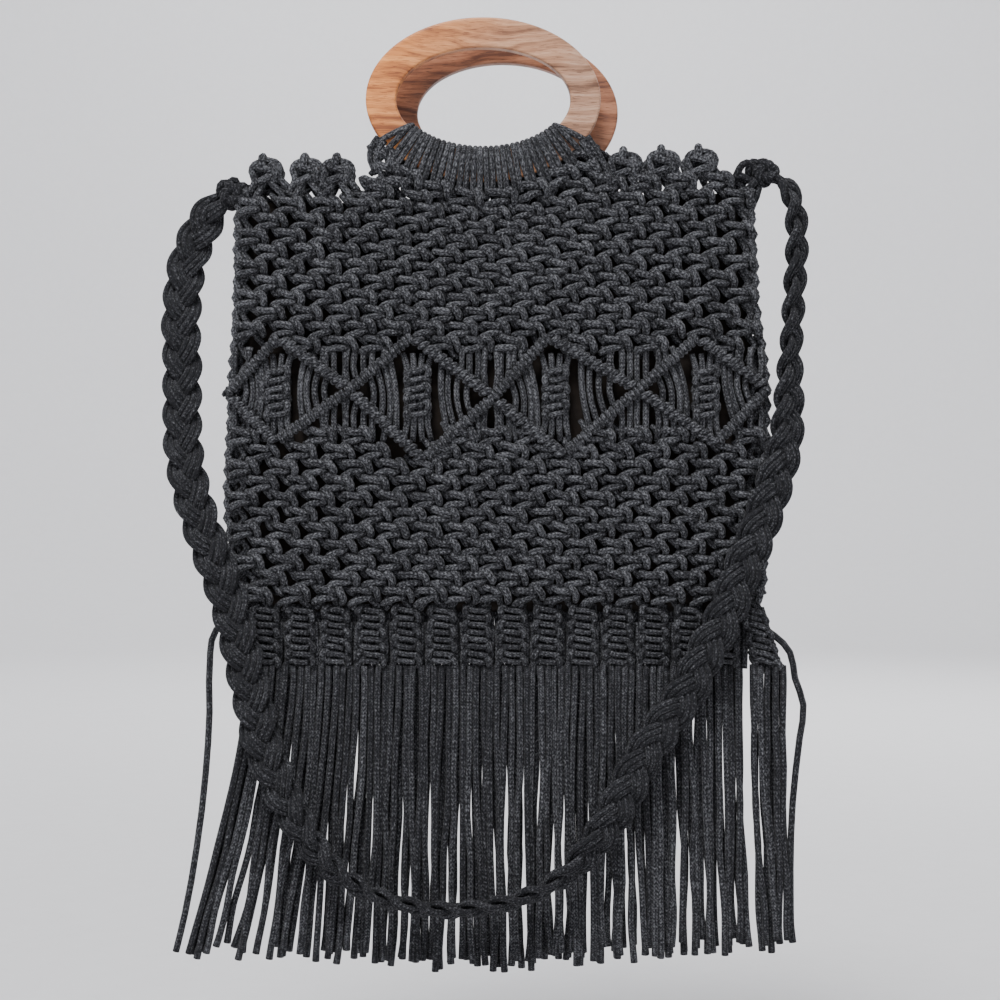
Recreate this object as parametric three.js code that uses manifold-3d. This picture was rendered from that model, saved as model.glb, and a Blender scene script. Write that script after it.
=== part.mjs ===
// Macrame bag: two oval wooden handles, a body knotted from cord with a band of diamonds,
// a row of knotted columns that closes the bottom, a fringe and a braided shoulder strap.
// Millimetres, +Z up. The origin is where the bag hangs: level with the top inside edge of
// the front handle's opening, half-way between the two handles. The front faces -Y.
import * as THREE from 'three';
import { mergeVertices } from 'three/addons/utils/BufferGeometryUtils.js';
import Module from 'manifold-3d';

const wasm = await Module();
wasm.setup();

// Driving dimensions
const cord = 4.5; // diameter of the cord that everything is knotted from
const clearance = 0.3; // gap that touching pieces keep

const handleWidth = 155;
const handleHeight = 108;
const handleBand = 20; // width of the wooden band round the opening
const handleThick = 9;
const handleRound = 2.5; // radius of the wood's rounded edges
const handleSpacing = 26; // from the middle of one handle's thickness to the other's
const frontHandleX = -7.5;
const backHandleX = 5.5;
const backHandleDrop = 4;

const wrapPairs = 16; // pairs of cords looped over each handle
const wrapArc = 124; // degrees of the handle that they cover
const wrapGroove = 0.93; // size at the groove between two pairs, as a share of the full size

const bodyWidth = 363;
const bodyHeight = 276; // from the knots under the handles to the knotted columns
const bagDepth = 42; // outside, front to back, at the fullest place
const wall = 9; // one layer of knots

const picotWidth = 19; // the loops that stand along the top edge
const picotHeight = 23;
const picotFirst = 93.5; // from the middle of the handle to the nearest loop
const picotPitch = 25.2;
const picotCount = 3; // on each side of the handle
const picotGap = 5.5; // the opening at the foot of each loop

const netPitch = 56; // the gaps that show in the net, across and down
const netRowPitch = 24;
const netRows = 3; // above the diamonds, and as many below
const netGap = 3.4;

const ridge = 6.5; // diameter of the ridges that draw the diamonds
const diamondHeight = 74;
const diamondCentreDown = 138; // below the top edge
const sinnetWidth = 19; // the knotted column in the middle of a diamond
const sinnetHeight = 43;
const eyeWidth = 3.6; // the slit beside each place where two ridges cross
const eyeHeight = 11;

const columnPitch = 23.5; // the knotted columns that close the bottom
const columnCount = 15;
const columnHeight = 41;
const columnDepth = 16;
const columnFlare = 0.84; // width at the top as a share of the width at the foot
const columnOverlap = 1.06; // width at the foot as a share of the pitch, so that they join
const columnLean = 13; // degrees that the last column leans out

const fringeLength = 206;
const fringeDepth = 15;
const fringeHead = 12;
const fringeLocks = 20;
const lockOverlap = 1.3; // width of a lock as a share of the pitch, so that they join
const lockBend = 1.3; // power that the sideways swing grows with down a lock

const strapWidth = 26;
const strapThick = 12;
const strapSteps = 52;
const knotSize = 24; // the knots that tie the strap to the top corners
const knotDepth = 19; // front to back
const knotRise = 6; // from the strap's end up to the middle of the knot

// Places worked out from the driving dimensions
const handleCentreZ = -(handleHeight / 2 - handleBand);
const bodyTop = handleCentreZ - handleHeight / 2 - cord;
const bodyBottom = bodyTop - bodyHeight;
const columnTop = bodyBottom - clearance;
const fringeTop = columnTop - columnHeight - clearance;
const seamY = (wall + clearance) / 2; // where a panel's middle lies at the side edges
const openBulge = handleSpacing / 2 - seamY; // puts the top edge right under the handle
const fullBulge = (bagDepth - wall) / 2 - seamY;

// The body from its top edge (down 0) to the knotted columns (down 1). left and right are
// the side edges as shares of half the width, bulge runs from 0, shut, to 1, fullest.
const sections = [
  { down: -0.13, left: 0.955, right: 0.955, bulge: openBulge / fullBulge },
  { down: 0.0, left: 0.956, right: 0.955, bulge: openBulge / fullBulge },
  { down: 0.27, left: 0.962, right: 0.975, bulge: 0.9 },
  { down: 0.47, left: 0.981, right: 1.015, bulge: 1.0 },
  { down: 0.75, left: 0.997, right: 1.003, bulge: 0.8 },
  { down: 0.89, left: 0.981, right: 1.003, bulge: 0.4 },
  { down: 1.0, left: 0.93, right: 0.995, bulge: 0.05 },
];

// Half the outline of a loop on the top edge: across as a share of its width, up of its height
const picotOutline = [
  { across: -0.36, up: -0.2 },
  { across: -0.34, up: 0.16 },
  { across: -0.5, up: 0.36 },
  { across: -0.44, up: 0.64 },
  { across: -0.2, up: 0.88 },
  { across: 0.0, up: 1.0 },
];

// The four diamonds: centre as a share of half the body's width, drop of the lower vertex as
// a share of the height
const diamonds = [
  { centre: -0.79, reach: 0.48 },
  { centre: -0.28, reach: 0.53 },
  { centre: 0.21, reach: 0.53 },
  { centre: 0.75, reach: 0.5 },
];

// The fringe's lower edge from left (0) to right (1): how far it hangs as a share of its
// length, and how far it swings sideways as a share of half the body's width
const fringeEdge = [
  { along: 0.0, hang: 0.95, swing: -0.26 },
  { along: 0.1, hang: 0.96, swing: -0.12 },
  { along: 0.25, hang: 0.98, swing: -0.04 },
  { along: 0.45, hang: 1.0, swing: 0.0 },
  { along: 0.7, hang: 0.97, swing: 0.0 },
  { along: 1.0, hang: 0.93, swing: 0.03 },
];

// The strap's route from the left corner round the front of the fringe to the right corner
const strapRoute = [
  [-187, 0, -101],
  [-193.5, 0, -112],
  [-199, -1, -124],
  [-204.5, -2, -138],
  [-207.5, -3, -157],
  [-209, -4, -183],
  [-208, -5, -204],
  [-207.5, -8, -232],
  [-206, -13, -262],
  [-201, -17.5, -288],
  [-193, -20, -314],
  [-184.5, -21, -337],
  [-176, -21.5, -360],
  [-169, -22, -386],
  [-160, -23, -425],
  [-152, -24, -459],
  [-142.5, -25, -483],
  [-131.5, -26, -505],
  [-118, -26, -527],
  [-103, -26, -543],
  [-82, -26, -555.5],
  [-58, -26, -563.5],
  [-29, -26, -567],
  [2.5, -26, -563.5],
  [24, -26, -557],
  [43, -26, -547],
  [59, -26, -531.5],
  [76, -25, -508],
  [98, -24, -466],
  [114, -23, -442],
  [128, -22.5, -422],
  [138.5, -22, -398.5],
  [151.5, -21.5, -374],
  [162, -21, -346],
  [174, -20, -317],
  [188, -17.5, -276],
  [194, -13, -250],
  [197.5, -6, -200],
  [201, -3, -150],
  [202.5, -1, -120],
  [200, 0, -97],
  [192.5, 0, -85.5],
];

// How the flat strap turns about its own line, in degrees, along its length
const strapTurns = [
  { along: 0.0, turn: 0 },
  { along: 0.33, turn: 0 },
  { along: 0.44, turn: 70 },
  { along: 0.54, turn: 70 },
  { along: 0.62, turn: 0 },
  { along: 0.8, turn: 0 },
  { along: 0.9, turn: 60 },
  { along: 1.0, turn: 60 },
];

// Reads a named column of a table at a place between its rows
function read(rows, key, at, column) {
  const after = rows.findIndex((row) => row[key] >= at);
  if (after === 0) return rows[0][column];
  if (after < 0) return rows[rows.length - 1][column];
  const from = rows[after - 1];
  const to = rows[after];
  return THREE.MathUtils.mapLinear(at, from[key], to[key], from[column], to[column]);
}

// A closed three.js geometry as a solid, and back
function solid(geometry) {
  const bare = geometry.clone();
  bare.deleteAttribute('normal');
  bare.deleteAttribute('uv');
  const merged = mergeVertices(bare, 1e-4);
  const vertProperties = new Float32Array(merged.attributes.position.array);
  const triVerts = new Uint32Array(merged.index.array);
  return new wasm.Manifold(new wasm.Mesh({ numProp: 3, vertProperties, triVerts }));
}

function geometryOf(body) {
  const mesh = body.getMesh();
  const geometry = new THREE.BufferGeometry();
  geometry.setAttribute('position', new THREE.BufferAttribute(mesh.vertProperties, 3));
  geometry.setIndex(new THREE.BufferAttribute(mesh.triVerts, 1));
  const shaded = geometry.toNonIndexed();
  shaded.computeVertexNormals();
  return shaded;
}

// Moves every point of a geometry to where place(x, y, z) puts it
function reshape(geometry, place) {
  const points = geometry.attributes.position;
  for (let i = 0; i < points.count; i += 1) {
    const moved = place(points.getX(i), points.getY(i), points.getZ(i));
    points.setXYZ(i, moved.x, moved.y, moved.z);
  }
  return geometry;
}

// A flat outline, drawn with X across and Y up, as a prism that stands in the XZ plane
function standing(shape, depth) {
  const geometry = new THREE.ExtrudeGeometry(shape, { depth, bevelEnabled: false });
  geometry.translate(0, 0, -depth / 2);
  geometry.rotateX(Math.PI / 2);
  return geometry;
}

// Handles
const handles = {
  front: { x: frontHandleX, y: -handleSpacing / 2, z: handleCentreZ },
  back: { x: backHandleX, y: handleSpacing / 2, z: handleCentreZ - backHandleDrop },
};

// The wooden ring, made thicker all round by grow
function handleRing(grow) {
  const round = handleRound + grow;
  const shape = new THREE.Shape();
  const hole = new THREE.Path();
  const wide = handleWidth / 2 + grow;
  const tall = handleHeight / 2 + grow;
  const band = handleBand + 2 * grow;
  shape.absellipse(0, 0, wide, tall, 0, 2 * Math.PI);
  hole.absellipse(0, 0, wide - band, tall - band, 0, 2 * Math.PI);
  shape.holes.push(hole);
  const depth = handleThick + 2 * grow - 2 * round;
  const geometry = new THREE.ExtrudeGeometry(shape, {
    depth,
    curveSegments: 14,
    bevelThickness: round,
    bevelSize: round,
    bevelOffset: -round,
    bevelSegments: 2,
  });
  geometry.translate(0, 0, -depth / 2);
  geometry.rotateX(Math.PI / 2);
  return geometry;
}

// The cords looped over the lower part of a handle, as one grooved bar that follows it
function wrapBar(grow) {
  const rows = 2 * wrapPairs;
  const wide = handleWidth / 2 - handleBand / 2;
  const tall = handleHeight / 2 - handleBand / 2;
  const across = handleBand / 2 + cord + grow;
  const deep = handleThick / 2 + cord + grow;
  const bar = new THREE.CylinderGeometry(1, 1, 1, 8, rows, false, Math.PI / 8);
  const corner = Math.sqrt(Math.cos(Math.PI / 8));
  const squared = (value) => (Math.sign(value) * Math.sqrt(Math.abs(value))) / corner;
  return reshape(bar, (x, y, z) => {
    const row = Math.round((y + 0.5) * rows);
    const swell = row % 2 === 0 ? wrapGroove : 1;
    const angle = THREE.MathUtils.degToRad(270 + y * wrapArc);
    const normal = new THREE.Vector2(Math.cos(angle) / wide, Math.sin(angle) / tall);
    normal.normalize().multiplyScalar(squared(x) * across * swell);
    return new THREE.Vector3(
      wide * Math.cos(angle) + normal.x,
      -squared(z) * deep * swell,
      tall * Math.sin(angle) + normal.y,
    );
  });
}

// Body panels
function sideX(side, down) {
  const column = side < 0 ? 'left' : 'right';
  return (side * bodyWidth * read(sections, 'down', down, column)) / 2;
}

// Depth of a panel's middle layer at a height and a place across, 0 at the middle, 1 at a side
function panelDepth(down, across) {
  const bulge = fullBulge * read(sections, 'down', down, 'bulge');
  return seamY + bulge * (1 - Math.abs(across) ** 3);
}

function surfaceAt(x, down) {
  const side = x < 0 ? -1 : 1;
  return panelDepth(down, x / sideX(side, down)) + wall / 2;
}

// A curved wall as wide as the body, from above the loops to the foot of the body
function curvedWall(facing) {
  const columns = 12;
  const first = sections[0].down;
  const levels = 7;
  const slab = new THREE.BoxGeometry(1, 1, 1, columns, 1, levels);
  return reshape(slab, (x, y, z) => {
    const down = THREE.MathUtils.lerp(first, 1, 0.5 - z);
    const across = 2 * x;
    const side = across < 0 ? -1 : 1;
    return new THREE.Vector3(
      Math.abs(across) * sideX(side, down),
      facing * panelDepth(down, across) + y * wall,
      bodyTop - down * bodyHeight,
    );
  });
}

// The panel's outline: straight but for the loops and the two horns that climb the handle
function panelOutline(handle) {
  const outline = new THREE.Shape();
  const margin = bodyWidth;
  const hornOut = handleWidth / 2 + cord;
  const hornIn = handleWidth / 2 - cord;
  const hornTop = handle.z + (handleHeight / 2) * Math.sin(THREE.MathUtils.degToRad(-45));
  const foot = handle.z - handleHeight / 2 - cord;
  const loopAt = (x, mirror) => {
    const half = mirror ? picotOutline.slice(0, -1).reverse() : picotOutline;
    for (const point of half) {
      const across = mirror ? -point.across : point.across;
      outline.lineTo(x + across * picotWidth, foot + point.up * picotHeight);
    }
  };
  outline.moveTo(-margin, bodyBottom);
  outline.lineTo(-margin, foot);
  for (let i = picotCount - 1; i >= 0; i -= 1) {
    const x = handle.x - picotFirst - i * picotPitch;
    outline.lineTo(x - picotWidth / 2, foot);
    loopAt(x, false);
    loopAt(x, true);
    outline.lineTo(x + picotWidth / 2, foot);
  }
  outline.lineTo(handle.x - hornOut, foot);
  outline.lineTo(handle.x - hornIn, hornTop);
  outline.lineTo(handle.x, foot + handleBand);
  outline.lineTo(handle.x + hornIn, hornTop);
  outline.lineTo(handle.x + hornOut, foot);
  for (let i = 0; i < picotCount; i += 1) {
    const x = handle.x + picotFirst + i * picotPitch;
    outline.lineTo(x - picotWidth / 2, foot);
    loopAt(x, false);
    loopAt(x, true);
    outline.lineTo(x + picotWidth / 2, foot);
  }
  outline.lineTo(margin, foot);
  outline.lineTo(margin, bodyBottom);
  return outline;
}

// A gap with pointed ends, cut through the wall
function gap(x, z, width, height) {
  const path = new THREE.Path();
  path.moveTo(x - width / 2, z);
  path.lineTo(x, z - height / 2);
  path.lineTo(x + width / 2, z);
  path.lineTo(x, z + height / 2);
  path.closePath();
  return path;
}

// Where the ridges cross: halfway between diamonds, and at the body's two sides
function crossings() {
  const half = bodyWidth / 2;
  const inner = diamonds.slice(1).map((row, i) => ((diamonds[i].centre + row.centre) / 2) * half);
  return [-half * 0.955, ...inner, half * 0.985];
}

function panelGaps(handle) {
  const gaps = [];
  const foot = handle.z - handleHeight / 2 - cord;
  for (let i = 0; i < picotCount; i += 1) {
    const out = picotFirst + i * picotPitch;
    gaps.push(gap(handle.x - out, foot, picotGap, picotGap));
    gaps.push(gap(handle.x + out, foot, picotGap, picotGap));
  }
  const crossing = crossings();
  const middle = bodyTop - diamondCentreDown;
  for (let i = 0; i < diamonds.length; i += 1) {
    const inset = ridge + eyeWidth;
    gaps.push(gap(crossing[i] + inset, middle, eyeWidth, eyeHeight));
    gaps.push(gap(crossing[i + 1] - inset, middle, eyeWidth, eyeHeight));
  }
  const perRow = Math.floor(bodyWidth / netPitch) - 1;
  const netStarts = [bodyTop - netRowPitch, middle - diamondHeight / 2 - netRowPitch];
  for (const start of netStarts) {
    for (let row = 0; row < netRows; row += 1) {
      const stagger = (row % 2) / 2;
      const shift = stagger + 0.25 - perRow / 2;
      for (let i = 0; i < perRow; i += 1) {
        const x = (i + shift) * netPitch;
        gaps.push(gap(x, start - row * netRowPitch, netGap, netGap));
      }
    }
  }
  return gaps;
}

// A four-sided bar between two points, with one of its edges facing out of the panel
function bar(from, to, width, facing) {
  const line = new THREE.Vector3().subVectors(to, from);
  const rod = new THREE.CylinderGeometry(width / 2, width / 2, line.length(), 4);
  const along = line.clone().normalize();
  const across = new THREE.Vector3(0, facing, 0).cross(along).negate().normalize();
  const out = new THREE.Vector3().crossVectors(across, along);
  rod.applyMatrix4(new THREE.Matrix4().makeBasis(across, along, out));
  rod.translate((from.x + to.x) / 2, (from.y + to.y) / 2, (from.z + to.z) / 2);
  return solid(rod);
}

// The ridges round each diamond and the knotted column inside it, half sunk in the wall
function diamondBand(facing) {
  const pieces = [];
  const crossing = crossings();
  const middle = diamondCentreDown / bodyHeight;
  const onFace = (x, down) =>
    new THREE.Vector3(x, facing * surfaceAt(x, down), bodyTop - down * bodyHeight);
  diamonds.forEach((row, i) => {
    const x = (row.centre * bodyWidth) / 2;
    const top = onFace(x, middle - (diamondHeight * (1 - row.reach)) / bodyHeight);
    const low = onFace(x, middle + (diamondHeight * row.reach) / bodyHeight);
    const left = onFace(crossing[i], middle);
    const right = onFace(crossing[i + 1], middle);
    for (const end of [left, right]) {
      pieces.push(bar(top, end, ridge, facing));
      pieces.push(bar(low, end, ridge, facing));
    }
    const column = new THREE.CylinderGeometry(0.5, 0.5, sinnetHeight, 4);
    column.rotateX(Math.PI / 2);
    column.scale(sinnetWidth, ridge, 1);
    column.translate(x, facing * surfaceAt(x, middle), bodyTop - diamondCentreDown);
    pieces.push(solid(column));
  });
  return wasm.Manifold.union(pieces);
}

function knot(side, grow) {
  const geometry = new THREE.SphereGeometry(0.5, 8, 6);
  const size = knotSize + 2 * grow;
  geometry.scale(size, knotDepth + 2 * grow, size);
  const end = side < 0 ? strapRoute[0] : strapRoute[strapRoute.length - 1];
  geometry.translate(end[0] - (side * knotSize) / 2, end[1], end[2] + knotRise);
  return geometry;
}

function panel(handle, facing) {
  const outline = panelOutline(handle);
  outline.holes.push(...panelGaps(handle));
  const prism = solid(standing(outline, 3 * bagDepth));
  const wraps = wrapBar(clearance).translate(handle.x, handle.y, handle.z);
  let body = solid(curvedWall(facing)).add(diamondBand(facing)).intersect(prism);
  body = body.subtract(solid(wraps));
  body = body.subtract(solid(knot(-1, clearance))).subtract(solid(knot(1, clearance)));
  return body;
}

// The knotted columns that close the bottom, side by side and joined at the foot
function closingColumns() {
  const pieces = [];
  const start = (-(columnCount - 2) / 2) * columnPitch;
  const spread = columnPitch * columnOverlap;
  const lean = THREE.MathUtils.degToRad(columnLean);
  const lift = (spread / 2) * Math.sin(lean);
  for (let i = 0; i < columnCount; i += 1) {
    const column = new THREE.CylinderGeometry(0.5 * columnFlare, 0.5, columnHeight, 8);
    column.rotateX(Math.PI / 2);
    column.translate(0, 0, columnHeight / 2);
    column.scale(spread, columnDepth, 1);
    if (i === columnCount - 1) {
      column.scale(1, 1, (columnHeight - 2 * lift) / (columnHeight * Math.cos(lean)));
      column.rotateY(lean);
      column.translate(0, 0, lift);
    }
    const x = start + i * columnPitch - (i === columnCount - 1 ? lift / 2 : 0);
    column.translate(x, 0, columnTop - columnHeight);
    pieces.push(solid(column));
  }
  return wasm.Manifold.union(pieces);
}

// Locks that hang from a head; their sizes follow the lower edge's table
function fringe() {
  const pieces = [];
  const left = (-columnCount / 2 + 0.2) * columnPitch;
  const right = (columnCount / 2 + 0.6) * columnPitch;
  const pitch = (right - left) / fringeLocks;
  const head = new THREE.BoxGeometry(right - left, fringeDepth * 0.9, fringeHead);
  head.translate((left + right) / 2, 0, fringeTop - fringeHead / 2);
  pieces.push(solid(head));
  for (let i = 0; i < fringeLocks; i += 1) {
    const along = (i + 0.5) / fringeLocks;
    const ragged = 1 - 0.02 * Math.abs(Math.sin(i * 2.4));
    const length = (fringeLength - fringeHead / 2) * ragged * read(fringeEdge, 'along', along, 'hang');
    const swing = (read(fringeEdge, 'along', along, 'swing') * bodyWidth) / 2;
    const lock = new THREE.CylinderGeometry(0.5, 0.5, 1, 5, 2);
    const sway = fringeDepth * 0.06 * Math.sin(i * 1.9);
    reshape(lock, (x, y, z) => {
      const down = 0.5 - y;
      return new THREE.Vector3(
        left + (i + 0.5) * pitch + x * pitch * lockOverlap + swing * down ** lockBend,
        -z * fringeDepth + sway * down,
        fringeTop - fringeHead / 2 - down * length,
      );
    });
    pieces.push(solid(lock));
  }
  return wasm.Manifold.union(pieces);
}

// A route whose section turns about it as the strap does
class StrapCurve extends THREE.CatmullRomCurve3 {
  computeFrenetFrames(segments, closed) {
    const frames = super.computeFrenetFrames(segments, closed);
    frames.tangents.forEach((tangent, i) => {
      const degrees = read(strapTurns, 'along', i / segments, 'turn');
      const angle = THREE.MathUtils.degToRad(degrees);
      frames.normals[i].applyAxisAngle(tangent, angle);
      frames.binormals[i].applyAxisAngle(tangent, angle);
    });
    return frames;
  }
}

const strapCurve = new StrapCurve(
  strapRoute.map(([x, y, z]) => new THREE.Vector3(x, y, z)),
  false,
  'centripetal',
);

function strap() {
  const section = new THREE.Shape();
  const sides = 8;
  for (let i = 0; i < sides; i += 1) {
    const angle = ((i + 0.5) / sides) * 2 * Math.PI;
    const x = (Math.cos(angle) * strapThick) / 2;
    const y = (Math.sin(angle) * strapWidth) / 2;
    if (i === 0) section.moveTo(x, y);
    else section.lineTo(x, y);
  }
  return new THREE.ExtrudeGeometry(section, { steps: strapSteps, extrudePath: strapCurve });
}

// A corner knot, cut flat where the strap's end meets it
function cornerKnot(side) {
  const at = side < 0 ? 0 : 1;
  const end = strapCurve.getPointAt(at);
  const outward = strapCurve.getTangentAt(at).multiplyScalar(-side);
  const cutter = new THREE.BoxGeometry(knotSize * 3, knotSize * 3, knotSize);
  cutter.translate(0, 0, knotSize / 2 - clearance);
  const turn = new THREE.Quaternion();
  turn.setFromUnitVectors(new THREE.Vector3(0, 0, 1), outward);
  cutter.applyQuaternion(turn);
  cutter.translate(end.x, end.y, end.z);
  return solid(knot(side, 0)).subtract(solid(cutter));
}

// Materials
const charcoalCord = new THREE.MeshStandardMaterial({ color: 0x35373c, roughness: 0.95, metalness: 0 });
const warmWood = new THREE.MeshStandardMaterial({ color: 0xa5735a, roughness: 0.55, metalness: 0 });
const redWood = new THREE.MeshStandardMaterial({ color: 0x965f46, roughness: 0.55, metalness: 0 });

const group = new THREE.Group();

function add(name, geometry, material, place) {
  const mesh = new THREE.Mesh(geometry, material);
  mesh.name = name;
  if (place) mesh.position.set(place.x, place.y, place.z);
  group.add(mesh);
}

for (const [name, place] of Object.entries(handles)) {
  const wood = name === 'front' ? warmWood : redWood;
  const facing = name === 'front' ? -1 : 1;
  const wraps = solid(wrapBar(0)).subtract(solid(handleRing(clearance)));
  add(`handle_${name}`, handleRing(0), wood, place);
  add(`handle_wraps_${name}`, geometryOf(wraps), charcoalCord, place);
  add(`panel_${name}`, geometryOf(panel(place, facing)), charcoalCord);
}
add('closing_columns', geometryOf(closingColumns()), charcoalCord);
add('fringe', geometryOf(fringe()), charcoalCord);
add('strap', strap(), charcoalCord);
add('strap_knot_left', geometryOf(cornerKnot(-1)), charcoalCord);
add('strap_knot_right', geometryOf(cornerKnot(1)), charcoalCord);

export default group;
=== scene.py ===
# %% [markdown]
# # A macrame bag, cord by cord
# The bag is knotted from one kind of thing: a soft knitted cord, 4.5 mm thick. So this lesson
# lays cords along lines, some thousands of them, and only the two wooden handles and a thin
# lining are made another way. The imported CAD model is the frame: each piece here sits where
# its solid sits.

# %% The frame that everything stands in
import math
import random

import bmesh
import bpy
from mathutils import Matrix, Vector


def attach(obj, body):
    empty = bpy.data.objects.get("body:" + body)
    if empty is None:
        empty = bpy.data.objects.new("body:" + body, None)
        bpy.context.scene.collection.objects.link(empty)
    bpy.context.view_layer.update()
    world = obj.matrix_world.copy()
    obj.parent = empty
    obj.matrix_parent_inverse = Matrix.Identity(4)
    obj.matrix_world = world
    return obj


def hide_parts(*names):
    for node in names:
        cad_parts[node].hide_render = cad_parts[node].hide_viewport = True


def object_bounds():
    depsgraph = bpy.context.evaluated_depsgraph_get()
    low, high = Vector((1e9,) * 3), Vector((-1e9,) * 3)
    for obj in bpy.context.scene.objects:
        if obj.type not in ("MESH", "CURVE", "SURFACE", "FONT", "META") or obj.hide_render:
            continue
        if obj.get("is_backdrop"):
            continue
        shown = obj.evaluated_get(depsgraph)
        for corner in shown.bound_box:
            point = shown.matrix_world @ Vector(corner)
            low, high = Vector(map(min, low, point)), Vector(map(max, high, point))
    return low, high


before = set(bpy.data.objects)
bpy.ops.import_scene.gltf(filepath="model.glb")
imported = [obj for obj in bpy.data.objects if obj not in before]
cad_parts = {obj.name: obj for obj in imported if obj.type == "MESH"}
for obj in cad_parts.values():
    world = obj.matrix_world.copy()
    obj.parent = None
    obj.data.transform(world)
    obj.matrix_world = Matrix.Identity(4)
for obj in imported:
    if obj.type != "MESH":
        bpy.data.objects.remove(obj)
cad_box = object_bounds()
MM = 0.001
FRONT, BACK = -1, 1
PANELS = ((FRONT, "front"), (BACK, "back"))
print("CAD box in metres:", [round(v, 3) for v in (*cad_box[0], *cad_box[1])])

# %% [markdown]
# ## The camera
# It stands straight before the bag, 1.2 m away, level with the middle of the picture. The
# lens is worked out from the width that the picture shows at the front of the bag.

# %% Camera
def stand(name, data):
    """A new object in the scene that shows this data."""
    thing = bpy.data.objects.new(name, data)
    bpy.context.collection.objects.link(thing)
    return thing


picture_width = 660 * MM
camera_distance = 1.2
front_plane = -15 * MM
picture_x, picture_z = 3.6 * MM, -298.3 * MM
camera_data = bpy.data.cameras.new("camera")
camera_data.lens = camera_data.sensor_width * camera_distance / picture_width
camera = stand("camera", camera_data)
camera.location = (picture_x, front_plane - camera_distance, picture_z)
camera.rotation_euler = (math.radians(90), 0, 0)
bpy.context.scene.camera = camera
print("lens", round(camera_data.lens, 1), "mm")

# %% [markdown]
# ## A material is a small graph
# The cord and the wood are both built from arithmetic on coordinates. Two helpers keep the
# graphs short: one adds a node with its inputs filled in, one adds a Math node. An input may
# be a number, or the output of another node.

# %% Helpers for shader graphs
class Shader:
    """A material's node tree, with short ways to add nodes to it."""

    def __init__(self, name):
        self.material = bpy.data.materials.new(name)
        self.material.use_nodes = True
        self.tree = self.material.node_tree
        self.surface = self.tree.nodes["Principled BSDF"]

    def plug(self, value, socket):
        if isinstance(value, bpy.types.NodeSocket):
            self.tree.links.new(value, socket)
        else:
            socket.default_value = value

    def add(self, kind, inputs=(), **settings):
        node = self.tree.nodes.new("ShaderNode" + kind)
        for key, value in settings.items():
            setattr(node, key, value)
        for key, value in dict(inputs).items():
            self.plug(value, node.inputs[key])
        return node

    def math(self, operation, *values):
        node = self.add("Math", enumerate(values), operation=operation)
        return node.outputs[0]

    def noise(self, where, scale, detail=2.0, roughness=0.5):
        inputs = {"Vector": where, "Scale": scale, "Detail": detail, "Roughness": roughness}
        return self.add("TexNoise", inputs).outputs["Fac"]

    def ramp(self, factor, stops):
        node = self.add("ValToRGB", {"Fac": factor})
        elements = node.color_ramp.elements
        while len(elements) < len(stops):
            elements.new(0.5)
        for element, (place, colour) in zip(elements, stops):
            element.position = place
            element.color = (*colour, 1)
        return node.outputs["Color"]

    def bump(self, height, distance, strength=1.0):
        inputs = {"Height": height, "Distance": distance, "Strength": strength}
        self.plug(self.add("Bump", inputs).outputs["Normal"], self.surface.inputs["Normal"])

    def settle(self, **sockets):
        for key, value in sockets.items():
            self.plug(value, self.surface.inputs[key.replace("_", " ")])


# %% [markdown]
# ## The cord's finish
# The cord is a knitted tube: six columns of stitches run along it, and each stitch is a
# small V over two millimetres long, half lost in the cotton's fuzz. The stitches are a bump,
# and they are painted into the colour too: darker in the grooves, as painted shade, and
# lighter on the crests, as painted light. The pattern has to bend with the cord, so it reads
# the cord's own UV map, where U is metres along the cord and V goes once round it. Cords of
# one hank differ a little in tone at random; the strap, the corner knots, the header and the
# fringe are also darker all over, which is painted shade. Both come from an attribute that
# each cord carries.

# %% Charcoal cord
STITCH_COLUMNS = 6
STITCH_LENGTH = 2.4 * MM
# how fine each noise is, in waves to the metre
FIBRES, LUMPS, WORN_PATCHES = 680.0, 260.0, 60.0
FUZZ_HEIGHT = 0.6 * MM
CHARCOAL = [(0.22, (0.012, 0.0122, 0.0142)), (0.44, (0.036, 0.0367, 0.041)),
            (0.64, (0.07, 0.0717, 0.0785)), (0.9, (0.13, 0.133, 0.144))]


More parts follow.
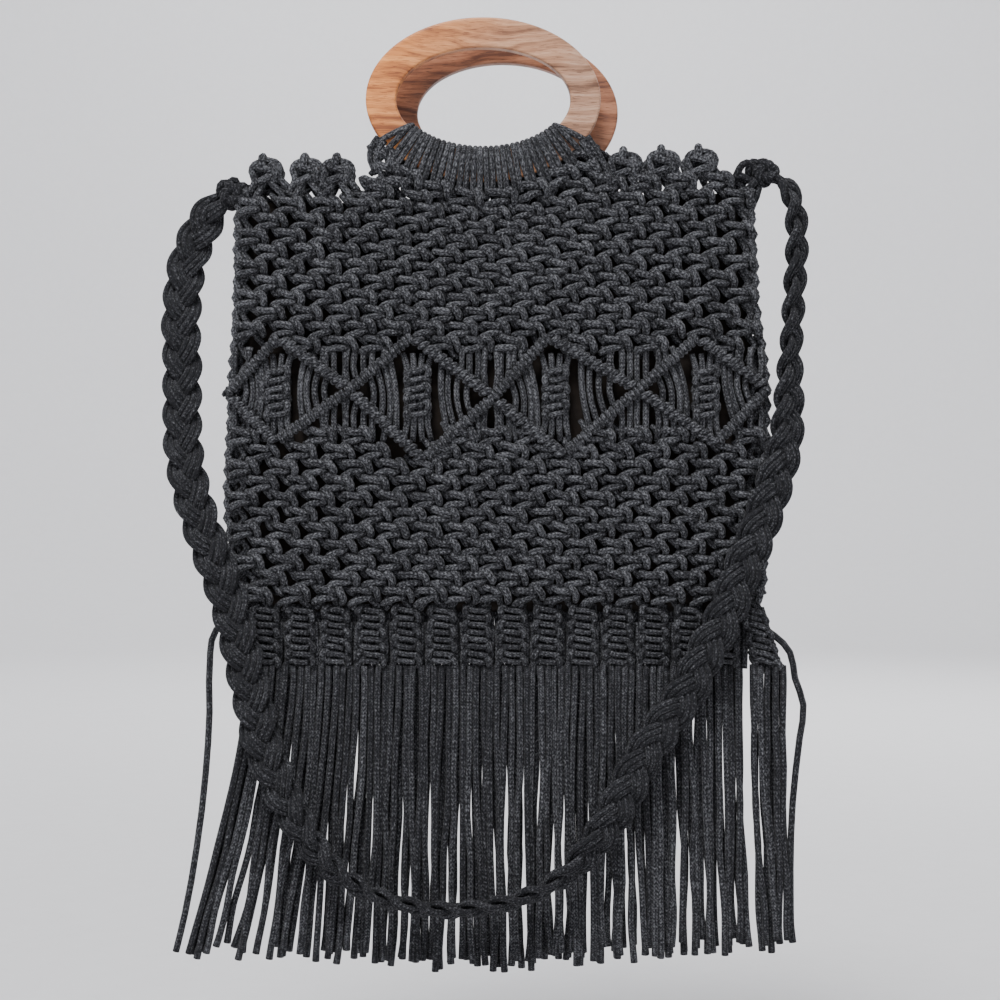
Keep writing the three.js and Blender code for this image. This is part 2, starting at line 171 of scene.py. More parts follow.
def cord_finish():
    cord = Shader("charcoal cord")
    uv = cord.add("SeparateXYZ", {"Vector": cord.add("TexCoord").outputs["UV"]}).outputs
    around = cord.math("FRACT", cord.math("MULTIPLY", uv["Y"], STITCH_COLUMNS))
    side = cord.math("MULTIPLY", cord.math("ABSOLUTE", cord.math("SUBTRACT", around, 0.5)), 2.0)
    along = cord.math("DIVIDE", uv["X"], STITCH_LENGTH)
    slanted = cord.math("FRACT", cord.math("ADD", along, cord.math("MULTIPLY", side, 0.75)))
    stitch = cord.math("SINE", cord.math("MULTIPLY", slanted, math.pi))
    valley = cord.math("SUBTRACT", 1.0, cord.math("POWER", side, 4.0))
    relief = cord.math("MULTIPLY", stitch, valley)
    place = cord.add("TexCoord").outputs["Object"]
    fibres = cord.noise(place, FIBRES, 1.0, 0.7)
    lumps = cord.noise(place, LUMPS, 2.0, 0.6)
    worn = cord.noise(place, WORN_PATCHES, 3.0, 0.6)
    fuzz = cord.math("MULTIPLY_ADD", fibres, 1.5, cord.math("MULTIPLY_ADD", lumps, 0.5, -0.8))
    # the height makes both the bump and the colour: its stitch relief paints the grooves darker and the
    # crests lighter, which is painted shade and painted light; the fibres and lumps are the yarn's own
    # speckle
    height = cord.math("MULTIPLY_ADD", relief, 0.5, fuzz)
    # the cord attribute read here holds each cord's random tone, and on the strap, corner knots, header
    # and fringe a lower range that is painted shade
    tone_and_painted_shade = cord.add("Attribute", attribute_name="tone_and_painted_shade").outputs["Fac"]
    shade = cord.math("MULTIPLY_ADD", worn, 0.16, cord.math("MULTIPLY_ADD", tone_and_painted_shade, 0.16, -0.16))
    colour = cord.ramp(cord.math("ADD", height, shade), CHARCOAL)
    cord.bump(height, FUZZ_HEIGHT)
    cord.settle(Base_Color=colour, Roughness=0.95, Sheen_Weight=0.03, Sheen_Roughness=0.5,
                Specular_IOR_Level=0.1)
    return cord.material


CORD_FINISH = cord_finish()
print("stitches round the cord:", STITCH_COLUMNS)

# %% [markdown]
# ## Laying cords
# A cord could be swept by hand, ring by ring. Blender's curves already do that: a Bezier
# spline with automatic handles runs smoothly through a few points, and a bevel gives it its
# round section. All the cords of a piece go into one curve, which then becomes a mesh. Its
# UV map comes along, and each cord's part of it is stretched to real metres.

# %% A run of cord, and the piece that many runs make
CORD = 4.4
SOFT = random.Random(11)


def uneven(reach):
    """A small random amount, up to reach either way."""
    return SOFT.uniform(-reach, reach)


class Run:
    """One cord: the points it passes, in mm, and how thick it is there."""

    def __init__(self, points, thick=CORD, closed=False, swell=None):
        self.points = [Vector(point) for point in points]
        self.thick = thick
        self.closed = closed
        self.swell = swell or [1.0] * len(self.points)


def draw_curve(runs, bevel_resolution, steps):
    curve = bpy.data.curves.new("cords", "CURVE")
    curve.dimensions = "3D"
    curve.bevel_depth = MM
    curve.bevel_resolution = bevel_resolution
    curve.use_fill_caps = True
    for run in runs:
        spline = curve.splines.new("BEZIER")
        spline.bezier_points.add(len(run.points) - 1)
        spline.resolution_u = steps
        spline.use_cyclic_u = run.closed
        for bezier, point, swell in zip(spline.bezier_points, run.points, run.swell):
            bezier.co = point * MM
            bezier.handle_left_type = bezier.handle_right_type = "AUTO"
            bezier.radius = run.thick / 2 * swell
    return curve


def place_piece(name, shape, finish, replaces=()):
    """The mesh as a piece of the bag that rides on its one body."""
    shape.name = name
    shape.materials.clear()
    shape.materials.append(finish)
    piece = stand(name, shape)
    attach(piece, "root")
    if replaces:
        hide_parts(*replaces)
    return piece


def lay_cords(name, runs, replaces=(), sides=6, steps=2, tones_and_painted_shade=(0.0, 1.0)):
    """The last argument is how dark the darkest and how light the lightest of these cords is: each cord
    draws a random tone from it, and a range set lower darkens the whole piece, which is painted shade.
    """
    curve = draw_curve(runs, (sides - 4) // 2, steps)
    holder = stand("cords", curve)
    bpy.context.view_layer.update()
    shape = bpy.data.meshes.new_from_object(holder.evaluated_get(bpy.context.evaluated_depsgraph_get()))
    lengths = [spline.calc_length() for spline in curve.splines]
    uv = shape.uv_layers[0].uv
    tone_and_painted_shade_data = shape.attributes.new("tone_and_painted_shade", "FLOAT", "FACE").data
    face = sum(2 * (sides - 2) for run in runs if not run.closed)
    for run, length in zip(runs, lengths):
        rings = (len(run.points) - (0 if run.closed else 1)) * steps
        # each cord's random tone, lowered on the strap, corner knots, header and fringe as painted
        # shade
        tone_and_painted_shade = SOFT.uniform(*tones_and_painted_shade)
        shift = SOFT.random() * 0.1
        for polygon in shape.polygons[face:face + rings * sides]:
            tone_and_painted_shade_data[polygon.index].value = tone_and_painted_shade
            for loop in polygon.loop_indices:
                u, v = uv[loop].vector
                uv[loop].vector = (u * length + shift, v)
        face += rings * sides
    bpy.data.objects.remove(holder)
    merged = bmesh.new()
    merged.from_mesh(shape)
    bmesh.ops.remove_doubles(merged, verts=merged.verts, dist=1e-7)
    merged.to_mesh(shape)
    merged.free()
    print(f"{name}: {len(runs)} cords, {sum(lengths):.1f} m, {len(shape.polygons)} faces")
    return place_piece(name, shape, CORD_FINISH, replaces)


# %% [markdown]
# ## The strap
# A flat plait of three strands, and each strand is three cords side by side. It hangs from
# the two top corners, round the front of the fringe. Seen from above, a strand of a plait
# swings from side to side like a sine wave, and rises twice in each swing, once over and
# once under its neighbours. The three strands do the same, a third of a swing apart. The
# points of the route are those of the CAD model, and so is the way that the strap turns.

# %% The strap's route
STRAP_ROUTE = [
    (-187, 0, -101), (-193.5, 0, -112), (-199, -1, -124), (-204.5, -2, -138),
    (-207.5, -3, -157), (-209, -4, -183), (-208, -5, -204), (-207.5, -8, -232),
    (-206, -13, -262), (-201, -17.5, -288), (-193, -20, -314), (-184.5, -21, -337),
    (-176, -21.5, -360), (-169, -22, -386), (-160, -23, -425), (-152, -24, -459),
    (-142.5, -25, -483), (-131.5, -26, -505), (-118, -26, -527), (-103, -26, -543),
    (-82, -26, -555.5), (-58, -26, -563.5), (-29, -26, -567), (2.5, -26, -563.5),
    (24, -26, -557), (43, -26, -547), (59, -26, -531.5), (76, -25, -508),
    (98, -24, -466), (114, -23, -442), (128, -22.5, -422), (138.5, -22, -398.5),
    (151.5, -21.5, -374), (162, -21, -346), (174, -20, -317), (188, -17.5, -276),
    (194, -13, -250), (197.5, -6, -200), (201, -3, -150), (202.5, -1, -120),
    (200, 0, -97), (192.5, 0, -85.5),
]
# how far along as a share, degrees turned
STRAP_TURNS = [(0.0, 0), (0.33, 0), (0.44, 70), (0.54, 70), (0.62, 0), (0.8, 0), (0.9, 60), (1.0, 60)]


def read(rows, at, column=1):
    """A named column of a table at a place between its rows; column 0 says where rows are."""
    if at <= rows[0][0]:
        return rows[0][column]
    for low, high in zip(rows, rows[1:]):
        if at <= high[0]:
            share = (at - low[0]) / (high[0] - low[0])
            return low[column] + share * (high[column] - low[column])
    return rows[-1][column]


def smooth_line(points, steps=8):
    """The points of a line that passes smoothly through the ones given."""
    points = [Vector(point) for point in points]
    ends = [2 * points[0] - points[1], *points, 2 * points[-1] - points[-2]]
    line = []
    for before, start, end, after in zip(ends, ends[1:], ends[2:], ends[3:]):
        for step in range(steps):
            t = step / steps
            line.append(start + 0.5 * t * (end - before + t * (
                2 * before - 5 * start + 4 * end - after + t * (
                    3 * start - before - 3 * end + after))))
    return [*line, points[-1]]


strap_line = smooth_line(STRAP_ROUTE)
strap_reach = [0.0]
for here, there in zip(strap_line, strap_line[1:]):
    strap_reach.append(strap_reach[-1] + (there - here).length)
STRAP_LENGTH = strap_reach[-1]
print("strap length in mm:", round(STRAP_LENGTH))


# %% The plait
PLAIT_SWING, PLAIT_POINTS = 59.5, 14
PLAIT_SIDE, PLAIT_LIFT = 7.9, 3.0
PLAIT_CORD, PLAIT_STEP = 4.1, 3.6
# how narrow the plait is where it meets the knots, and over what length it widens
PLAIT_END, PLAIT_WIDENS = 0.75, 60
# how far apart strands and cords are inside the knots, where they end, which way they spread
STRAND_APART, CORD_APART = 2.4, 1.2
LEFT_END, LEFT_SPREAD = Vector((-174.5, 0, -94.0)), Vector((-1.15, 0.9, 1.65))
RIGHT_END, RIGHT_SPREAD = Vector((182.5, 0, -80.0)), Vector((0.3, 1.0, 1.4))


def strap_frame(distance):
    """The strap's middle there, with the directions of its length, its face and its width."""
    distance = min(max(distance, 0.0), STRAP_LENGTH)
    index = next(i for i, reach in enumerate(strap_reach[1:]) if distance <= reach + 1e-6)
    start, end = strap_line[index], strap_line[index + 1]
    share = (distance - strap_reach[index]) / (strap_reach[index + 1] - strap_reach[index])
    ahead = strap_line[min(index + 2, len(strap_line) - 1)]
    behind = strap_line[max(index - 1, 0)]
    along = (ahead - behind).normalized()
    face = Vector((0, 1, 0))
    face = (face - face.dot(along) * along).normalized()
    turn = math.radians(read(STRAP_TURNS, distance / STRAP_LENGTH))
    face = Matrix.Rotation(turn, 3, along) @ face
    return start.lerp(end, share), along, face, along.cross(face)


def plait_cord(strand, place):
    points = []
    steps = int(STRAP_LENGTH / PLAIT_SWING * PLAIT_POINTS)
    for step in range(steps + 1):
        distance = STRAP_LENGTH * step / steps
        phase = 2 * math.pi * (distance / PLAIT_SWING + strand / 3)
        slope = PLAIT_SIDE * math.cos(phase) * 2 * math.pi / PLAIT_SWING
        shift = place * PLAIT_STEP / math.hypot(1, slope)
        close = min(1.0, PLAIT_END + min(distance, STRAP_LENGTH - distance) / PLAIT_WIDENS)
        middle, along, face, wide = strap_frame(distance - shift * slope)
        side = (PLAIT_SIDE * math.sin(phase) + shift) * close
        rise = PLAIT_LIFT * math.sin(2 * phase) + 0.5 * abs(place)
        points.append(middle + wide * side + face * rise)
    return Run(points, PLAIT_CORD)


def into_knots(run, spread):
    """The same cord with its two ends led on into the corner knots; spread is its place there."""
    points = [LEFT_END + spread * LEFT_SPREAD, *run.points, RIGHT_END + spread * RIGHT_SPREAD]
    return Run(points, run.thick)


strap_runs = [into_knots(plait_cord(strand, place),
                         (strand - 1) * STRAND_APART + place * CORD_APART)
              for strand in range(3) for place in (-1, 0, 1)]
# the strap's cords are darker all over than the rest: painted shade
strap = lay_cords("strap_plait", strap_runs, ["strap"], sides=8, tones_and_painted_shade=(-1.4, -0.7))

# %% [markdown]
# ## The corner knots
# Each end of the strap is tied to a top corner with a round, lumpy knot. The line of a
# trefoil knot, three loops that pass over and under each other, makes such a lump. Three of
# them are nested, each turned against the last, and short cords laid one by one stand up
# from the lump and join it to the bag.

# %% Corner knots
# the node that each stands for, its middle, how far it is turned
CORNER_KNOTS = {
    "corner_knot_left": ("strap_knot_left", (-175, 0, -95), 0.4),
    "corner_knot_right": ("strap_knot_right", (180.5, 0, -79.5), 2.6),
}
KNOT_CORD, KNOT_LOOP_CORD = 5.2, 5.0
# radius, depth and turn of each layer
KNOT_LAYERS = [(4.6, 2.6, 0.0), (6.4, 5.4, 0.9), (7.6, 6.0, 1.9)]
# cords that stand up from each knot or join it to the bag
KNOT_LOOPS = {
    "corner_knot_left": [
        [(-183.5, 1, -95), (-183, -2, -88.5), (-179.5, -1, -86.5), (-177.5, 2, -92)],
        [(-177.5, 1, -91), (-176.5, -2, -86), (-173, -1, -85), (-171.5, 2, -92)],
        [(-172, 1, -92), (-169.5, -2, -88.5), (-166, -1, -89.5), (-165, 2, -96)],
    ],
    "corner_knot_right": [
        [(169.5, 1, -82), (170.5, -2, -74), (173.8, -1, -72.6), (176, 2, -80)],
        [(176, 1, -84), (177.5, -4, -76), (182, -3, -75), (184, 2, -82)],
        [(160, 1, -87), (163.5, -2, -77), (168, -3, -73.5), (173, -2, -76), (177, 0, -84)],
        [(159, 0, -84), (165, -1, -82), (170, -1, -85), (176, 1, -84)],
        [(163, 0, -100), (168, -3, -92), (174, -3, -86), (180, 0, -80)],
        [(164, 1, -109), (170, -1, -104), (174.5, -2, -96), (177, 0, -86)],
        [(166, 3, -104), (171, 3, -96), (174, 3, -88), (178, 2, -80)],
    ],
}


def trefoil(centre, turn, radius, depth, steps=24):
    points = []
    for step in range(steps):
        t = 2 * math.pi * step / steps
        reach = radius * (0.62 + 0.38 * math.cos(3 * t))
        x = reach * math.cos(2 * t + turn)
        z = reach * math.sin(2 * t + turn)
        points.append(Vector(centre) + Vector((x, depth * math.sin(3 * t), z)))
    return points


for name, (node, centre, turn) in CORNER_KNOTS.items():
    layers = [Run(trefoil(centre, turn + twist, radius, depth), KNOT_CORD, True)
              for radius, depth, twist in KNOT_LAYERS]
    layers += [Run(line, KNOT_LOOP_CORD) for line in KNOT_LOOPS[name]]
    # the corner knots' cords are darker all over: painted shade
    lay_cords(name, layers, [node], sides=8, tones_and_painted_shade=(-1.5, -0.8))

# %% [markdown]
# ## The body's shape
# Two panels, front and back, hang between the handles and the row that closes the bottom.
# Every knot is placed by how far across and down it sits and by its lift off the panel's
# middle, so one function turns those three into a point. Its numbers are the CAD model's.

# %% The panel surface
BODY_TOP, BODY_HEIGHT, HALF_WIDTH = -92.5, 276, 181.5
SEAM_DEPTH, FULL_BULGE = 4.65, 11.85
OPEN_BULGE = 8.35 / FULL_BULGE
# how far down, left edge, right edge, bulge
SECTIONS = [
    (-0.13, 0.955, 0.955, OPEN_BULGE), (0.0, 0.956, 0.955, OPEN_BULGE),
    (0.27, 0.962, 0.975, 0.9), (0.47, 0.981, 1.015, 1.0), (0.75, 0.997, 1.003, 0.8),
    (0.89, 0.981, 1.003, 0.4), (1.0, 0.93, 0.995, 0.05),
]
# the middle of each handle
HANDLES = {FRONT: Vector((-7.5, -13, -34)), BACK: Vector((5.5, 13, -38))}


def side_x(side, z):
    return side * HALF_WIDTH * read(SECTIONS, (BODY_TOP - z) / BODY_HEIGHT, 1 if side < 0 else 2)


def from_middle(across, z):
    """Across, from -1 at the left edge to 1 at the right one, as mm at that height."""
    return across * abs(side_x(-1 if across < 0 else 1, z))


def on_panel(x, z, lift, facing):
    """The point at a place on a panel, lifted off its middle towards the outside."""
    across = min(1.0, abs(x / side_x(-1 if x < 0 else 1, z)))
    bulge = FULL_BULGE * read(SECTIONS, (BODY_TOP - z) / BODY_HEIGHT, 3)
    return Vector((x, facing * (SEAM_DEPTH + bulge * (1 - across**3) + lift), z))


# %% [markdown]
# ## One knot
# The net is made of alternating square knots. From outside such a knot shows a bar that
# crosses from the upper left, ends in a bump on the right and tucks under, then a second
# bar below it, and the short cord that leads in from the left. Behind are another bar and
# the cords that the knot is tied round. The table gives each of these as a line across, up
# and out, in mm from the middle of a knot in a net with cords of 4.4 mm.

# %% The parts of a square knot
# how far down from one row of the net to the next
KNOT_STEP = 10.4
# thickness, then points across, up and out
KNOT_LINES = {
    "upper bar": (5.3, [(-8.4, 5.2, -0.8), (-5.6, 4.2, 2.4), (-1.6, 3.4, 3.6), (2.2, 2.6, 3.2),
                        (5.2, 1.8, 0.6)]),
    "bump": (5.2, [(3.2, 5.2, 0.4), (5.6, 4.6, 3.9), (8.1, 1.8, 4.9), (8.9, -1.6, 3.0),
                   (9.0, -4.2, 0.0)]),
    "lower bar": (4.8, [(-11.0, -5.6, -0.8), (-8.0, -3.9, 1.9), (-3.6, -2.6, 3.1), (0.8, -1.7, 2.8),
                        (5.2, -1.0, 0.6)]),
    "link": (4.6, [(-13.6, 8.6, -2.2), (-11.4, 5.6, -0.8), (-9.0, 2.6, -0.6), (-6.8, 0.6, -1.8)]),
    "back bar": (4.6, [(8.6, 3.6, -1.8), (3.0, 1.6, -3.6), (-3.4, -0.6, -3.6), (-8.6, -3.2, -1.8)]),
    "left leg": (4.8, [(-2.2, 1.5, -1.6), (-4.8, -5.2, -2.8), (-9.0, -9.6, -2.0)]),
    "right leg": (4.8, [(2.2, 1.5, -1.6), (4.8, -5.2, -2.8), (9.0, -9.6, -2.0)]),
}


# how near a knot's cords come to the side edge, how far points stray, how far a knot turns,
# how thin its cords end
EDGE_CLEAR, KNOT_JITTER, KNOT_TURN, TIGHT_END = 3.0, 0.6, 0.14, 0.8


def tie_knot(x, z, facing, wide=1.0, high=1.0, turn=0.0, bulk=1.0, without=()):
    """The cords of one knot, in the place and with the small unevenness of a hand-tied one."""
    runs = []
    turn += uneven(KNOT_TURN)
    bulk *= SOFT.uniform(0.95, 1.05)
    cos, sin = math.cos(turn), math.sin(turn)
    low_x, high_x = side_x(-1, z) + EDGE_CLEAR, side_x(1, z) - EDGE_CLEAR
    for part, (thick, line) in KNOT_LINES.items():
        if part in without:
            continue
        points = []
        for right, up, lift in line:
            right = right * wide + uneven(KNOT_JITTER)
            up = up * high + uneven(KNOT_JITTER)
            px = min(max(x - facing * (right * cos - up * sin), low_x), high_x)
            pz = z + right * sin + up * cos
            points.append(on_panel(px, pz, lift * bulk, facing))
        swell = [TIGHT_END] + [1.0] * (len(points) - 2) + [TIGHT_END]
        runs.append(Run(points, thick * bulk * SOFT.uniform(0.95, 1.05), swell=swell))
    return runs


print("lines of a knot:", ", ".join(KNOT_LINES))

# %% [markdown]
# ## The band of diamonds
# Four diamonds stand side by side. Their corners are given first, because the nets above
# and below stop where the diamonds' ridges run.

# %% Corners of the diamonds
FRONT_TOPS = [(-142.9, -190.7), (-54.5, -190.7), (35.3, -190.7), (133.7, -190.7)]
FRONT_LOWS = [(-144.9, -260.0), (-47.2, -271.9), (45.2, -268.6), (146.2, -260.7)]
FRONT_CROSSINGS = [(-177.0, -227.7), (-95.4, -225.7), (-1.0, -231.0), (94.7, -225.7), (181.5, -224.4)]


def both_panels(places):
    """The front's places, and the same mirrored, so that the back looks alike from behind."""
    return {FRONT: places, BACK: sorted((-x, z) for x, z in places)}


TOPS, LOWS, CROSSINGS = map(both_panels, (FRONT_TOPS, FRONT_LOWS, FRONT_CROSSINGS))
UPPER_RIDGE = {facing: sorted(TOPS[facing] + CROSSINGS[facing]) for facing in (FRONT, BACK)}
LOWER_RIDGE = {facing: sorted(LOWS[facing] + CROSSINGS[facing]) for facing in (FRONT, BACK)}
print("corners of the diamonds on each panel:", len(UPPER_RIDGE[FRONT]) + len(FRONT_LOWS))

# %% [markdown]
# ## The two nets
# A row of knots, and in the next row each knot sits half-way between two of the last row.
# Above the diamonds the rows sag under the handle, so each row is placed between the top
# edge and the height of the diamonds. Below them the rows run level.

# %% Places of the knots
NET_COUNT, UPPER_ROWS, UPPER_FOOT = 15, 10, -196.0
LOWER_ROWS, LOWER_FIRST, LOWER_LAST = 11, -256.5, -361.5
# how far the nets stay off the ridges, above and below
ABOVE_RIDGE, BELOW_RIDGE = 5, 4.5
# the first row has no knot under the handle, or this near a loop of the top edge
UNDER_HANDLE, NEAR_PICOT = (-64, 58), 7
# the loops along the top edge, from the front handle's middle
PICOT_PLACES = [-144.0, -117.0, -97.0, 93.5, 118.7, 144.5]
# from the handle's middle sideways, height of the first row
TOP_EDGE = [
    (-165, -93.5), (-75, -94.5), (-54, -96.4), (-28, -99.7), (-4, -101), (11, -101), (31, -99),
    (51, -94.7), (70, -91.5), (88, -90.5), (130, -88), (188, -86.5),
]


def row_places(short):
    """How far across each knot of a row sits, from -1 at the left side to 1."""
    places = [(2 * i + 1 + short) / NET_COUNT - 1 for i in range(NET_COUNT - short)]
    return [across * (0.93 + 0.07 * across**2) for across in places]


def upper_places(facing):
    handle = HANDLES[facing].x
    for row in range(UPPER_ROWS + 1):
        short = (row + 1) % 2 if facing == FRONT else row % 2
        for across in row_places(short):
            x = from_middle(across, -100)
            top = read(TOP_EDGE, x - handle)
            z = top + (UPPER_FOOT - top) * row / UPPER_ROWS
            x = from_middle(across, z)
            under_handle = UNDER_HANDLE[0] < x - handle < UNDER_HANDLE[1]
            under_picot = any(abs(x - HANDLES[FRONT].x - place) < NEAR_PICOT for place in PICOT_PLACES)
            if row == 0 and (under_handle or under_picot):
                continue
            if z > read(UPPER_RIDGE[facing], x) + ABOVE_RIDGE:
                yield x, z, (top - UPPER_FOOT) / UPPER_ROWS / KNOT_STEP


def lower_places(facing):
    step = (LOWER_FIRST - LOWER_LAST) / (LOWER_ROWS - 1)
    for row in range(LOWER_ROWS):
        z = LOWER_LAST + row * step
        for across in row_places(row % 2 if facing == FRONT else (row + 1) % 2):
            x = from_middle(across, z)
            if z < read(LOWER_RIDGE[facing], x) - BELOW_RIDGE:
                yield x, z, step / KNOT_STEP


print("knots of the front:", sum(1 for places in (upper_places, lower_places) for _ in places(FRONT)))

# %% Tying the nets
for facing, label in PANELS:
    for part, places in (("upper", upper_places(facing)), ("lower", lower_places(facing))):
        runs = []
        for x, z, high in places:
            runs += tie_knot(x, z, facing, high=high, bulk=0.8 + 0.2 * high)
        lay_cords(f"{part}_net_{label}", runs, [f"panel_{label}"])

# %% [markdown]
# ## A knotted column
# Square knots tied one below another make a flat column. Each knot shows a bar that rises to
# a bump on the right, and below it a bar that runs back to a bump on the left. The table
# gives the four as shares of the column's half width and of a knot's height. The back of the
# column shows the same. Straight cords run inside it, swollen there so that no light comes
# through, and they fan out where they leave it.

# %% The cords of a column
# how thick as a share of the cord, then points across, down and out
COLUMN_LINES = [
    (1.0, [(-0.95, 0.16, 0.0), (-0.62, 0.06, 0.8), (0.0, -0.02, 1.0), (0.55, -0.08, 0.75)]),
    (1.12, [(0.45, -0.24, 0.3), (0.8, -0.18, 0.95), (0.88, 0.1, 1.0), (0.7, 0.3, 0.3)]),
    (0.95, [(0.9, 0.36, 0.0), (0.6, 0.42, 0.8), (0.0, 0.48, 0.95), (-0.55, 0.54, 0.75)]),
    (1.05, [(-0.45, 0.26, 0.3), (-0.8, 0.34, 0.9), (-0.88, 0.6, 0.95), (-0.7, 0.8, 0.3)]),
]
# where across the cords inside stand, how far they swell, how soon they fan out
CORE_PLACES = (-0.66, -0.22, 0.22, 0.66)
CORE_SWELL, CORE_FAN = 0.47, 30


def column_runs(place, knots, height, half_width, depth, thick=CORD, leads=0.0):
    """place(across, down, out) gives the point; down counts from the first bar."""
    runs = []
    for layer in (1, -1):
        edge = (half_width - thick / 2) * layer
        for knot in range(knots):
            for share, line in COLUMN_LINES:
                points = []
                for across, down, out in line:
                    across = across * edge + uneven(0.5)
                    down = (knot + down) * height + uneven(0.4)
                    points.append(place(across, down, out * depth * layer))
                runs.append(Run(points, thick * share))
    foot = knots * height
    fan = 1 + leads / CORE_FAN
    middle = CORE_SWELL * half_width / thick
    for share in CORE_PLACES:
        x = share * half_width
        ends = [(fan, -leads), (1, -0.2 * leads), (1, foot / 2), (1, foot), (fan, foot + leads)]
        points = [place(x * wider, down, 0) for wider, down in ends]
        runs.append(Run(points, thick, swell=[1.0, middle, middle, middle, 1.0]))
    return runs


# %% [markdown]
# ## Ridges, columns and arcs of the diamonds
# A ridge is one cord with others hitched round it, so it looks like a row of beads: each
# turn of cord is a small ring round the ridge's line. The ridges that rise to the right run
# on over each crossing and the others stop at it. Inside a diamond a knotted column stands
# in the middle, and arcs of cord curve round each crossing, with a dark eye beside it.

# %% The diamond band
# how far apart, how wide round, how thick, how slanted: where a ridge rises the turns lie
# close, where it falls they are lumps
RISING_HITCH, FALLING_HITCH = (3.5, 2.2, 3.9, (0.1, 0.7)), (4.5, 2.0, 5.0, (1.0, 1.8))
RIDGE_LIFT = 4.2
COLUMN_TOP, COLUMN_KNOTS, COLUMN_STEP = -213.5, 3, 11.4
COLUMN_HALF, COLUMN_DEPTH, COLUMN_CORD, COLUMN_LEADS = 10.3, 4.0, 4.1, 12
# how far a ridge stops short of a crossing that the other runs over, and of another's corner
RIDGE_GAP, CORNER_GAP = 4, 3
# how far along the ridges each arc is held, how far it bows out in mm
ARCS = [(0.3, 2.5), (0.42, 3.0), (0.53, 3.2), (0.63, 2.4)]
# the short cords beside each crossing: how many on each side, how far apart, where they end
BRIDGES, BRIDGE_PITCH = 4, 5.2
UPPER_END, LOWER_END, SHORTEST_BRIDGE = -197.0, -259.5, 9


def ridge_runs(start, end, facing, cut_start=0.0, cut_end=0.0):
    start, end = Vector(start), Vector(end)
    along = (end - start).normalized()
    start, end = start + along * cut_start, end - along * cut_end
    rising = (along.y > 0) == (facing == FRONT)
    pitch, radius, thick, slant = RISING_HITCH if rising else FALLING_HITCH
    count = round((end - start).length / pitch)
    across = Vector((-along.y, along.x))
    runs = []
    for i in range(count):
        middle = start.lerp(end, (i + 0.5) / count)
        lean = along * SOFT.uniform(*slant)
        ring = []
        for step in range(4):
            angle = 2 * math.pi * step / 4
            flat = middle + (across * radius + lean) * math.cos(angle)
            ring.append(on_panel(flat.x, flat.y, RIDGE_LIFT + radius * math.sin(angle), facing))
        runs.append(Run(ring, thick * SOFT.uniform(0.94, 1.06), True))
    return runs


def arc_runs(crossing, top, low, facing):
    """The arcs on one side of a crossing, from the upper ridge down to the lower one."""
    runs = []
    for share, belly in ARCS:
        high = Vector(crossing).lerp(Vector(top), share)
        foot = Vector(crossing).lerp(Vector(low), share)
        out = 1 if top[0] > crossing[0] else -1
        points = []
        for t in (0, 0.22, 0.5, 0.78, 1):
            spot = high.lerp(foot, t)
            bow = out * belly * math.sin(math.pi * t)
            lift = 1.6 - 2.4 * (2 * t - 1) ** 4
            points.append(on_panel(spot.x + bow, spot.y, lift, facing))
        runs.append(Run(points))
    return runs


def bridging_runs(facing):
    """The short cords between the ridges and the nets, where two diamonds meet."""
    runs = []
    for middle, _ in CROSSINGS[facing]:
        for i in range(-BRIDGES, BRIDGES + 1):
            x = middle + i * BRIDGE_PITCH + uneven(1.0)
            if not side_x(-1, -200) + 4 < x < side_x(1, -200) - 4:
                continue
            sway = uneven(3.2)
            for ridge, end in ((UPPER_RIDGE[facing], UPPER_END), (LOWER_RIDGE[facing], LOWER_END)):
                edge = read(ridge, x)
                if abs(edge - end) < SHORTEST_BRIDGE:
                    continue
                points = [on_panel(x, edge, 0.4, facing),
                          on_panel(x + sway, edge * 0.55 + end * 0.45, 1.5, facing),
                          on_panel(x + sway * 0.4, end, 0.4, facing)]
                runs.append(Run(points))
    return runs


def diamond_runs(facing):
    runs = []
    falls, rises = (RIDGE_GAP, 0) if facing == FRONT else (0, RIDGE_GAP)
    for i, (top, low) in enumerate(zip(TOPS[facing], LOWS[facing])):
        left, right = CROSSINGS[facing][i], CROSSINGS[facing][i + 1]
        runs += ridge_runs(left, top, facing, rises, 0)
        runs += ridge_runs(top, right, facing, CORNER_GAP, falls)
        runs += ridge_runs(left, low, facing, falls, 0)
        runs += ridge_runs(low, right, facing, CORNER_GAP, rises)
        runs += arc_runs(left, top, low, facing)
        runs += arc_runs(right, top, low, facing)
        x = (top[0] + low[0]) / 2

        def place(across, down, out):
            return on_panel(x - facing * across, COLUMN_TOP - down, out, facing)

        runs += column_runs(place, COLUMN_KNOTS, COLUMN_STEP, COLUMN_HALF, COLUMN_DEPTH,
                            COLUMN_CORD, COLUMN_LEADS)
    return runs + bridging_runs(facing)


for facing, label in PANELS:
    lay_cords(f"diamond_band_{label}", diamond_runs(facing), [f"panel_{label}"])

# %% [markdown]
# ## The row that closes the bottom
# Fifteen thicker columns take the cords of both panels together and shut the bag. They
# stand so close that their bars touch, with cords in the gaps between them; the last one on
# the right leans out.

# %% Closing columns
CLOSING_TOP, CLOSING_HEIGHT = -368.8, 41
CLOSING_COUNT, CLOSING_PITCH, CLOSING_LEAN = 15, 23.5, 13
CLOSING_KNOTS, CLOSING_HALF, CLOSING_DEPTH = 4, 12.0, 6.3
CLOSING_CORD, CLOSING_LEADS = 4.0, 4
# how far the first bar hangs below the top, how much narrower a column is there
BAR_DROP, TOP_NARROWING = 3, 0.1
# how far the last column's foot stands out, and which share of its lean moves its top in
LAST_SHIFT, LAST_SHARE = 6, 0.6
# cords in the gap between two columns: how far aside, depth, how far down it starts, goes on
GAP_CORDS = [(-2.2, -1.2, 11), (2.2, -0.8, 11), (-1.4, 2.6, -7), (1.4, 2.6, -7)]
GAP_LEVELS = (18, 28, 42)
